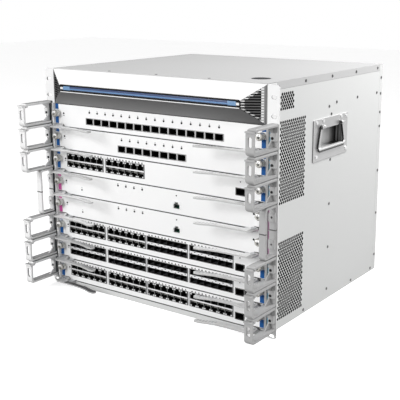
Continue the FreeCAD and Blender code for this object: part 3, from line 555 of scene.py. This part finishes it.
class Builder:
    """Collects polygons in mm as (x, d, z) and makes one piece of them."""

    def __init__(self, *looks):
        self.looks = looks
        self.points = []
        self.faces = []
        self.marks = []

    def add(self, points, faces, look):
        base = len(self.points)
        self.points += [(x * MM, (FRONT + d) * MM, z * MM) for x, d, z in points]
        self.faces += [tuple(base + i for i in face) for face in faces]
        self.marks += [self.looks.index(look)] * len(faces)

    def box(self, x0, x1, d0, d1, z0, z1, look):
        points = [(x, d, z) for x in (x0, x1) for d in (d0, d1) for z in (z0, z1)]
        faces = [(0, 1, 3, 2), (4, 6, 7, 5), (0, 4, 5, 1),
                 (2, 3, 7, 6), (0, 2, 6, 4), (1, 5, 7, 3)]
        self.add(points, faces, look)

    def prism(self, outline, axis, low, high, look):
        count = len(outline)
        points = []
        for level in (low, high):
            for a, b in outline:
                point = [a, b]
                point.insert(axis, level)
                points.append(point)
        faces = [tuple(range(count))[::-1], tuple(range(count, 2 * count))]
        for i in range(count):
            j = (i + 1) % count
            faces.append((i, j, count + j, count + i))
        self.add(points, faces, look)

    def disc(self, centre, radius, axis, low, high, look, sides=16):
        outline = []
        for i in range(sides):
            angle = 2 * math.pi * i / sides
            outline.append((centre[0] + radius * math.cos(angle),
                            centre[1] + radius * math.sin(angle)))
        self.prism(outline, axis, low, high, look)

    def hoop(self, centre, d, radius, wire, look, turns=40, sides=6):
        points = []
        faces = []
        for i in range(turns):
            a = 2 * math.pi * i / turns
            for j in range(sides):
                b = 2 * math.pi * j / sides
                reach = radius + wire * math.cos(b)
                points.append((centre[0] + reach * math.cos(a), d + wire * math.sin(b),
                               centre[1] + reach * math.sin(a)))
                k, m = (i + 1) % turns, (j + 1) % sides
                faces.append((i * sides + j, k * sides + j, k * sides + m, i * sides + m))
        self.add(points, faces, look)

    def build(self, name, body):
        mesh = bpy.data.meshes.new(name)
        mesh.from_pydata(self.points, [], self.faces)
        for look in self.looks:
            mesh.materials.append(look)
        mesh.polygons.foreach_set("material_index", self.marks)
        mesh.validate()
        mesh.update()
        made = bpy.data.objects.new(name, mesh)
        bpy.context.scene.collection.objects.link(made)
        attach(made, body)
        return made


# ---------------------------------------------------------------- side walls with fine vents

HOLE_PITCH = 6.45
HOLE_ROW = 4.8
HOLE_R = 2.7
HOLE_SIDES = 6
VENTS = ((36, 79, 351, 378), (36, 117, 204, 335), (36, 117, 14, 144))
POCKET_MARGIN = (19, 19, 21, 16)
SHADE_SHEET_GAP = 0.8


def holed_cell(b, x, d0, d1, z0, z1, wall, outward):
    """One rectangle of sheet with a hexagonal hole in its middle, and the hole's wall painted
    black as shade.
    """
    cd, cz = (d0 + d1) / 2, (z0 + z1) / 2
    hd, hz = (d1 - d0) / 2, (z1 - z0) / 2
    points = []
    for i in range(HOLE_SIDES):
        angle = 2 * math.pi * i / HOLE_SIDES
        c, s = math.cos(angle), math.sin(angle)
        k = min(hd / abs(c), hz / max(abs(s), 0.001))
        points.append((x, cd + HOLE_R * c, cz + HOLE_R * s))
        points.append((x, cd + k * c, cz + k * s))
        points.append((x - outward * wall, cd + HOLE_R * c, cz + HOLE_R * s))
    faces = []
    walls = []
    for i in range(HOLE_SIDES):
        a, n = 3 * i, 3 * ((i + 1) % HOLE_SIDES)
        faces.append((a, a + 1, n + 1, n))
        walls.append((a, n, n + 2, a + 2))
    base = len(points)
    for n, (sd, sz) in enumerate(((1, 1), (-1, 1), (-1, -1), (1, -1))):
        points.append((x, cd + hd * sd, cz + hz * sz))
        target = math.atan2(hz * sz, hd * sd) % (2 * math.pi)
        i = int(target / (2 * math.pi) * HOLE_SIDES) % HOLE_SIDES
        j = (i + 1) % HOLE_SIDES
        faces.append((3 * i + 1, base + n, 3 * j + 1))
    b.add(points, faces, PANEL)
    # The hole's wall is painted black as shade.
    b.add(points, walls, BLACK)


def vent_field(b, x, d0, d1, z0, z1, wall, outward):
    """Staggered rows of hexagonal holes that fill the rectangle."""
    columns = round((d1 - d0) / HOLE_PITCH)
    pitch = (d1 - d0) / columns
    rows = round((z1 - z0) / HOLE_ROW)
    height = (z1 - z0) / rows
    for row in range(rows):
        low, high = z0 + row * height, z0 + (row + 1) * height
        shift = pitch / 2 if row % 2 else 0.0
        if shift:
            for left, right in ((d0, d0 + shift), (d1 - shift, d1)):
                b.add([(x, left, low), (x, right, low), (x, right, high), (x, left, high)],
                      [(0, 1, 2, 3)], PANEL)
        for column in range(columns - (1 if shift else 0)):
            left = d0 + shift + column * pitch
            holed_cell(b, x, left, left + pitch, low, high, wall, outward)


def side_wall(side):
    node = "side_panel_" + side
    low, high = box_mm(node)
    outward = 1 if side == "right" else -1
    outer, inner = (high.x, low.x) if side == "right" else (low.x, high.x)
    plate_low, plate_high = box_mm("handle_plate_" + side)
    front, rear, bottom, top = POCKET_MARGIN
    window = (plate_low.y - FRONT + front, plate_high.y - FRONT - rear,
              plate_low.z + bottom, plate_high.z - top)
    holes = VENTS + (window,)
    b = Builder(PANEL, BLACK)
    cuts_d = sorted({low.y - FRONT, high.y - FRONT} | {v for h in holes for v in h[:2]})
    cuts_z = sorted({low.z, high.z} | {v for h in holes for v in h[2:]})
    x0, x1 = sorted((inner, outer))
    for d0, d1 in zip(cuts_d, cuts_d[1:]):
        for z0, z1 in zip(cuts_z, cuts_z[1:]):
            cd, cz = (d0 + d1) / 2, (z0 + z1) / 2
            if not any(h[0] < cd < h[1] and h[2] < cz < h[3] for h in holes):
                b.box(x0, x1, d0, d1, z0, z1, PANEL)
    for d0, d1, z0, z1 in VENTS:
        vent_field(b, outer, d0, d1, z0, z1, abs(outer - inner), outward)
        # A black sheet just behind each vent field, put there as the shade seen through the holes.
        x0, x1 = sorted((inner - outward * SHADE_SHEET_GAP, inner - outward * (SHADE_SHEET_GAP + 0.6)))
        b.box(x0, x1, d0 - 2, d1 + 2, z0 - 2, z1 + 2, BLACK)
    made = b.build("wall_" + side, "chassis")
    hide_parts(node)


for side in ("left", "right"):
    side_wall(side)

# ---------------------------------------------------------------- bezel

HIP_RUN = math.hypot(HIP_X - RIDGE_HALF_W, RIDGE_D)
HIP_COS = (HIP_X - RIDGE_HALF_W) / HIP_RUN
HIP_SIN = -RIDGE_D / HIP_RUN
LOUVRE_START = 9.2


def hip_point(sign, along, inward):
    """A point on the bezel's corner face, counted from the outer edge."""
    x = HIP_X - along * HIP_COS - inward * HIP_SIN
    return sign * x, -along * HIP_SIN + inward * HIP_COS


def louvre_reach(z):
    """How far a louvre at this height runs before the bezel's sloping edge."""
    if z + LOUVRE_H > RIDGE_Z1:
        return HIP_RUN * (BEZEL_HIGH.z - z - LOUVRE_H) / (BEZEL_HIGH.z - RIDGE_Z1)
    if z < RIDGE_Z0:
        return HIP_RUN * (z - BEZEL_LOW.z) / (RIDGE_Z0 - BEZEL_LOW.z)
    return HIP_RUN


def hip_bar(b, sign, along, inward, z0, z1, look):
    corners = ((along[0], inward[0]), (along[1], inward[0]),
               (along[1], inward[1]), (along[0], inward[1]))
    b.prism([hip_point(sign, reach, depth) for reach, depth in corners], 2, z0, z1, look)


def bezel_trim():
    b = Builder(BLACK, CLEAR_LENS)
    for sign in (-1, 1):
        # Black bars behind the louvre slots, put there as the shade seen through them.
        z = BEZEL_LOW.z + 4.0
        while z < BEZEL_HIGH.z - 4.0:
            far = louvre_reach(z)
            if far > LOUVRE_START + 4.0:
                hip_bar(b, sign, (LOUVRE_START - 1.0, far - 3.0), (2.6, 3.1),
                        z - 0.4, z + LOUVRE_H + 0.4, BLACK)
            z += LOUVRE_PITCH
        x0, x1 = sorted((sign * 178.6, sign * 184.2))
        b.box(x0, x1, RIDGE_D + 0.2, RIDGE_D + 3.0, BAR_LOW.z + 1.6, BAR_LOW.z + 5.4, CLEAR_LENS)
    b.build("bezel_trim", "chassis")


bezel_trim()

# ---------------------------------------------------------------- details of the card fronts

LABEL_SPANS = ((5.3, 18.8), (30.5, 39.9))
STRIP_SPANS = ((3.0, 24.0), (28.5, 41.5))
BLOCK_X0 = (-194.2, -102.6, -13.8, 75.8)
BLOCK_W = 85.4
BLOCK_MARGIN = 0.9
PORT_COLS = 6
COLUMN = (BLOCK_W - 2 * BLOCK_MARGIN) / PORT_COLS
BLOCK_Z0 = 9.9
BLOCK_Z1 = 34.2
BLOCK_FACE = -0.5
JACK_H = 10.7
SFP_W = 13.1
SFP_H = 8.8
ROW_MARGIN = 0.8
BLOCK_KINDS = {3: "RR", 6: "RRSS", 7: "SSSS", 8: "RRRR"}
QSFP_COUNT = {1: 16, 2: 8}
QSFP_PITCH = 18.1
NOTCH_X = 197.5
NOTCH_H = 4.6
FACE_HALF_W = 219.4
SEAM_STRIP_H = 1.0
NOTCH_LINE = 1.1


def seam_seal_and_shade(b, z):
    """Dark seal strip in the seam below the faceplate, black so that it also stands for the shade
    in the gap, and black lines along the notch steps put there as shade.
    """
    notch = z + NOTCH_H
    low = z + SEAM_GAP
    b.box(-NOTCH_X, NOTCH_X, -0.1, 1.8, low - SEAM_STRIP_H, low, BLACK)
    for sign in (-1, 1):
        edge = [(sign * FACE_HALF_W, notch), (sign * (NOTCH_X + 3), notch), (sign * NOTCH_X, low)]
        for (x0, z0), (x1, z1) in zip(edge, edge[1:]):
            b.prism([(x0, z0), (x1, z1), (x1, z1 - NOTCH_LINE), (x0, z0 - NOTCH_LINE)],
                    1, -0.1, 1.8, BLACK)


def jack_wires(b, x, z):
    """Eight spring contacts below the roof of an upside-down jack."""
    step = 1.02
    roof = z + JACK_H
    for i in range(8):
        left = x - 3.5 * step - 0.3 + i * step
        b.box(left, left + 0.6, 3.2, 3.7, roof - 5.0, roof - 0.6, BRASS)
    for side in (-1, 1):
        spring = x + side * 4.9
        b.box(spring - 0.8, spring + 0.8, 1.6, 2.2, roof - 4.4, roof - 2.2, BRASS)


def triangle(b, x, z, half, height, look, d=-0.25):
    b.prism([(x - half, z), (x + half, z), (x, z + height)], 1, d, 0.0, look)


def jack_column(b, x, z):
    jack_wires(b, x, z + BLOCK_Z0 + ROW_MARGIN)
    rows = ((z + BLOCK_Z1 - ROW_MARGIN - JACK_H, False), (z + BLOCK_Z0 + ROW_MARGIN, True))
    for low, upside_down in rows:
        window = low + (0.5 if upside_down else JACK_H - 2.3)
        for side in (-1, 1):
            centre = x + side * 5.1
            b.box(centre - 1.2, centre + 1.2, BLOCK_FACE - 0.2, BLOCK_FACE,
                  window, window + 1.8, CLEAR_LENS)
    for side in (-1, 1):
        triangle(b, x + side * 3.4, z + 35.0, 1.9, 2.6, DARK)


def fibre_column(b, x, z, last):
    middle = z + (BLOCK_Z0 + BLOCK_Z1) / 2
    rows = (z + BLOCK_Z0 + ROW_MARGIN, z + BLOCK_Z1 - ROW_MARGIN - SFP_H)
    face = BLOCK_FACE
    if not last:
        divider = x + COLUMN / 2
        half = (COLUMN - SFP_W) / 2
        for low in rows:
            b.box(divider - half, divider + half, face - 0.1, face, low, low + SFP_H, BLACK)
    for side, rise in ((-1, 0.2), (1, -1.9)):
        centre = x + side * 3.2
        b.box(centre - 2.3, centre + 2.3, face - 0.2, face,
              middle + rise, middle + rise + 1.8, CLEAR_LENS)
        b.box(centre - 1.5, centre + 1.1, face - 0.2, face,
              middle - rise - 1.8, middle - rise - 0.4, DARK)
    for low in rows:
        b.box(x - 5.6, x + 5.6, 4.0, 10.5, low + 0.3, low + 0.8, DARK)
    for side in (-1, 1):
        triangle(b, x + side * 3.2, z + 35.0, 1.9, 2.6, DARK)


def port_details(b, slot, z):
    for index, kind in enumerate(BLOCK_KINDS[slot]):
        x0, x1 = BLOCK_X0[index], BLOCK_X0[index] + BLOCK_W
        # Grey strips at both sides of the block are painted as shade in the gap beside it.
        for edge in (x0 - 0.6, x1 + 0.6):
            b.box(edge - 0.6, edge + 0.6, -0.2, 0.0, z + BLOCK_Z0, z + BLOCK_Z1, MID_GREY)
        middle = z + (BLOCK_Z0 + BLOCK_Z1) / 2
        half = 1.2 if kind == "R" else 2.2
        b.box(x0 + 0.4, x1 - 0.4, BLOCK_FACE - 0.1, BLOCK_FACE, middle - half, middle + half, ZINC)
        for column in range(PORT_COLS):
            x = BLOCK_X0[index] + BLOCK_MARGIN + COLUMN * (column + 0.5)
            if kind == "R":
                jack_column(b, x, z)
            else:
                fibre_column(b, x, z, column == PORT_COLS - 1)


def uplink_marks(b, slot, z):
    low, high = box_mm("ports_%d" % slot)
    count = QSFP_COUNT[slot]
    first = (low.x + high.x) / 2 - QSFP_PITCH * (count - 1) / 2
    for i in range(count):
        x = first + i * QSFP_PITCH
        b.disc((x, z + 29.8), 1.7, 1, -0.5, 0.0, BLACK)
        triangle(b, x, z + 32.2, 1.3, 1.9, MID_GREY)


def supervisor_marks(b, z):
    for i in range(4):
        x = -76.0 + i * 17.9
        b.disc((x, z + 31.6), 1.7, 1, -0.5, 0.0, BLACK)
        b.box(x - 1.6, x + 1.6, -0.2, 0.0, z + 34.0, z + 35.0, MID_GREY)
    b.disc((-161.2, z + 12.2), 1.5, 1, -0.5, 0.0, DARK)
    b.box(-162.6, -159.8, -0.2, 0.0, z + 15.4, z + 16.4, MID_GREY)
    b.disc((50.0, z + 31.6), 1.2, 1, -0.5, 0.0, DARK)
    b.box(44.4, 55.6, 10.9, 11.0, z + 10.0, z + 20.0, JACK_GREEN)
    jack_wires(b, 50.0, z + 9.8)


def card_marks(slot):
    z = seam(slot)
    screws = box_mm("captive_screws_%d" % slot)
    screw_z = (screws[0].z + screws[1].z) / 2
    tint = MAGENTA if slot in SUPERVISORS else BLUE
    b = Builder(tint, GREY_INK_AND_SHADE, MID_GREY, CLEAR_LENS, DARK, BLACK, BRASS, ZINC, JACK_GREEN)
    seam_seal_and_shade(b, z)
    for sign in (-1, 1):
        x0, x1 = sorted((sign * 211.6, sign * 219.2))
        for low, high in LABEL_SPANS:
            b.box(x0, x1, -0.25, 0.0, z + low, z + high, tint)
        b.disc((sign * 199.0, screw_z), 1.7, 1, -0.4, 0.0, BLACK)
    b.box(-201.0, -197.0, -0.2, 0.0, screw_z - 4.4, screw_z - 3.4, GREY_INK_AND_SHADE)
    if slot in QSFP_COUNT:
        uplink_marks(b, slot, z)
    elif slot in SUPERVISORS:
        supervisor_marks(b, z)
    else:
        port_details(b, slot, z)
        b.disc((174.2, z + 30.2), 1.0, 1, -0.5, 0.0, DARK)
    b.build("card_marks_%d" % slot, "card_%d_body" % slot)


for slot in SLOTS:
    card_marks(slot)

# ---------------------------------------------------------------- levers

GRIP_RIBS = 7
GRIP_X = 112.5
GRIP_STEP_X = 5.0
GRIP_D = -34.6
GRIP_STEP_D = 1.5
GRIP_RIB_W = 1.6
GRIP_RIB_LEN = 7.0


def lever_grip(slot, side):
    """Ribs pressed into the lever's finger end."""
    top = box_mm("lever_%d_%s" % (slot, side))[1].z
    sign = 1 if side == "right" else -1
    # On the left of slots 6 to 8 the ribs are painted dark grey as shade.
    look = GREY_INK_AND_SHADE if side == "left" and slot > 5 else ZINC
    b = Builder(look)
    for i in range(GRIP_RIBS):
        x = sign * (GRIP_X + GRIP_STEP_X * i)
        x0, x1 = sorted((x, x + sign * GRIP_RIB_W))
        d = GRIP_D + i * GRIP_STEP_D
        b.box(x0, x1, d, d + GRIP_RIB_LEN, top, top + 0.25, look)
    b.build("lever_grip_%d_%s" % (slot, side), "lever_%d_%s_body" % (slot, side))


for slot in SLOTS:
    for side in ("left", "right"):
        lever_grip(slot, side)

# ---------------------------------------------------------------- ear strips and ring screws


def ear_strips():
    b = Builder(PALE_BLUE, PALE_PINK, LEFT_STRIP_SHADOW, MID_GREY, BLACK)
    for slot in SLOTS:
        z = seam(slot)
        outer = PALE_PINK if slot in SUPERVISORS else PALE_BLUE
        for low, high in STRIP_SPANS:
            b.box(225.1, 230.4, -0.2, 0.0, z + low, z + high, outer)
        # On the left a navy strip and a mid grey strip run the whole pitch, painted as the shadow
        # beside the ring.
        b.box(-228.2, -225.1, -0.2, 0.0, z + 1.0, z + PITCH - 1.0, LEFT_STRIP_SHADOW)
        b.box(-230.0, -228.2, -0.2, 0.0, z + 1.0, z + PITCH - 1.0, MID_GREY)
        if slot not in SUPERVISORS:
            for sign in (-1, 1):
                b.disc((sign * 234.4, z + 23.7), 2.2, 1, -8.3, -6.9, BLACK)
    b.build("ear_strips", "chassis")


ear_strips()

# ---------------------------------------------------------------- top cover

DISC_X = 175.0
DISC_D = 55.0
DISC_R = 15.0
DISC_BAR_R = 14.0
DISC_BAR_STEP = 4.2

b = Builder(BLACK, DARK)
b.disc((DISC_X, DISC_D), DISC_R, 2, TOP - 0.6, TOP - 0.2, BLACK, 40)
for i in range(-3, 4):
    half = math.sqrt(DISC_BAR_R ** 2 - (DISC_BAR_STEP * i) ** 2)
    d = DISC_D + DISC_BAR_STEP * i
    b.box(DISC_X - half, DISC_X + half, d - 0.6, d + 0.6, TOP - 0.2, TOP, DARK)
b.build("cover_disc", "chassis")

# ---------------------------------------------------------------- rear modules

FAN_X = (-132, 0, 132)
GUARD_RADII = (26, 34, 42, 50, 56)
GUARD_WIRE = 0.8
BLADES = 7
BLADE_OUTLINE = ((20.5, 0.0), (54, 0.16), (54, 0.72), (20.5, 0.62))

low, high = box_mm("fan_tray")
b = Builder(ZINC, DARK)
middle = (low.z + high.z) / 2
for x in FAN_X:
    for radius in GUARD_RADII:
        b.hoop((x, middle), REAR_D - 1.0, radius, GUARD_WIRE, ZINC)
    for n in range(BLADES):
        angle = 2 * math.pi * n / BLADES
        blade = []
        for reach, turn in BLADE_OUTLINE:
            a = angle + turn
            blade.append((x + reach * math.cos(a), middle + reach * math.sin(a)))
        b.prism(blade, 1, REAR_D - 5.5, REAR_D - 3.5, DARK)
b.build("fan_guards", "fan_tray_body")

# ---------------------------------------------------------------- stage, light and camera

FLOOR_LIFT = 0.62
FLOOR_BOUNCE = 0.22
FLOOR_REACH = 6.0
WORLD_LIGHT = 0.33
CAMERA_LENS = 74.82
CAMERA_SHIFT = (-0.0458, -0.072)
CAMERA_X = 0.8552
CAMERA_AHEAD = 1.0351
CAMERA_Z = 0.5273
CAMERA_DOWN = 12.22
CAMERA_TURN = 34.91


def backdrop():
    world = bpy.data.worlds.new("studio")
    bpy.context.scene.world = world
    world.use_nodes = True
    tree = world.node_tree
    tree.nodes.clear()
    out = tree.nodes.new("ShaderNodeOutputWorld")
    path = tree.nodes.new("ShaderNodeLightPath")
    shown = tree.nodes.new("ShaderNodeBackground")
    shown.inputs["Color"].default_value = (1, 1, 1, 1)
    shown.inputs["Strength"].default_value = 1.0
    light = tree.nodes.new("ShaderNodeBackground")
    light.inputs["Color"].default_value = (1, 1, 1, 1)
    light.inputs["Strength"].default_value = WORLD_LIGHT
    mix = tree.nodes.new("ShaderNodeMixShader")
    seen = path.outputs["Is Camera Ray"]
    for kind in ("Is Glossy Ray", "Is Transmission Ray"):
        either = tree.nodes.new("ShaderNodeMath")
        either.operation = "MAXIMUM"
        tree.links.new(seen, either.inputs[0])
        tree.links.new(path.outputs[kind], either.inputs[1])
        seen = either.outputs[0]
    tree.links.new(seen, mix.inputs[0])
    tree.links.new(light.outputs[0], mix.inputs[1])
    tree.links.new(shown.outputs[0], mix.inputs[2])
    tree.links.new(mix.outputs[0], out.inputs["Surface"])


def floor():
    """Pale floor that reads as white in the camera and keeps the object's shadow."""
    s = Shader("floor_white")
    path = s.tree.nodes.new("ShaderNodeLightPath")
    seen = s.either(path.outputs["Is Camera Ray"], path.outputs["Is Glossy Ray"])
    seen = s.either(seen, path.outputs["Is Transmission Ray"])
    pale = s.tone(s.noise(3.0), grey(0.79), 0.01)
    s.colour(s.mix(seen, grey(FLOOR_BOUNCE), pale))
    s.bsdf.inputs["Roughness"].default_value = 0.8
    s.bsdf.inputs["Emission Color"].default_value = (1, 1, 1, 1)
    s.put(s.math("MULTIPLY", seen, FLOOR_LIFT), s.bsdf.inputs["Emission Strength"])
    mesh = bpy.data.meshes.new("floor")
    z = CAD_BOX[0][2] - 0.5 * MM
    reach = FLOOR_REACH
    mesh.from_pydata(
        [(-reach, -reach, z), (reach, -reach, z), (reach, reach, z), (-reach, reach, z)], [],
        [(0, 1, 2, 3)])
    mesh.materials.append(s.material)
    made = bpy.data.objects.new("floor", mesh)
    bpy.context.scene.collection.objects.link(made)


def lamp(name, place, target, size, power):
    data = bpy.data.lights.new(name, "AREA")
    data.shape = "SQUARE"
    data.size = size
    data.energy = power
    made = bpy.data.objects.new(name, data)
    made.location = place
    aim = Vector(target) - Vector(place)
    made.rotation_euler = aim.to_track_quat("-Z", "Y").to_euler()
    bpy.context.scene.collection.objects.link(made)


backdrop()
floor()
lamp("front_light", (-1.0, -2.6, 1.4), (0, -0.1, 0.2), 1.6, 71)
lamp("side_light", (1.6, -0.6, 1.2), (0.1, -0.1, 0.2), 0.8, 13.0)
lamp("edge_light", (0.62, 0.42, 0.85), (0.25, 0.15, 0.3), 0.4, 6.2)

camera_data = bpy.data.cameras.new("photo_view")
camera_data.lens = CAMERA_LENS
camera_data.sensor_width = 36.0
camera_data.shift_x, camera_data.shift_y = CAMERA_SHIFT
camera = bpy.data.objects.new("photo_view", camera_data)
camera.location = (CAMERA_X, FRONT * MM - CAMERA_AHEAD, CAMERA_Z)
camera.rotation_euler = (math.radians(90 - CAMERA_DOWN), 0, math.radians(CAMERA_TURN))
bpy.context.scene.collection.objects.link(camera)
bpy.context.scene.camera = camera
bpy.context.scene.view_settings.view_transform = "Standard"
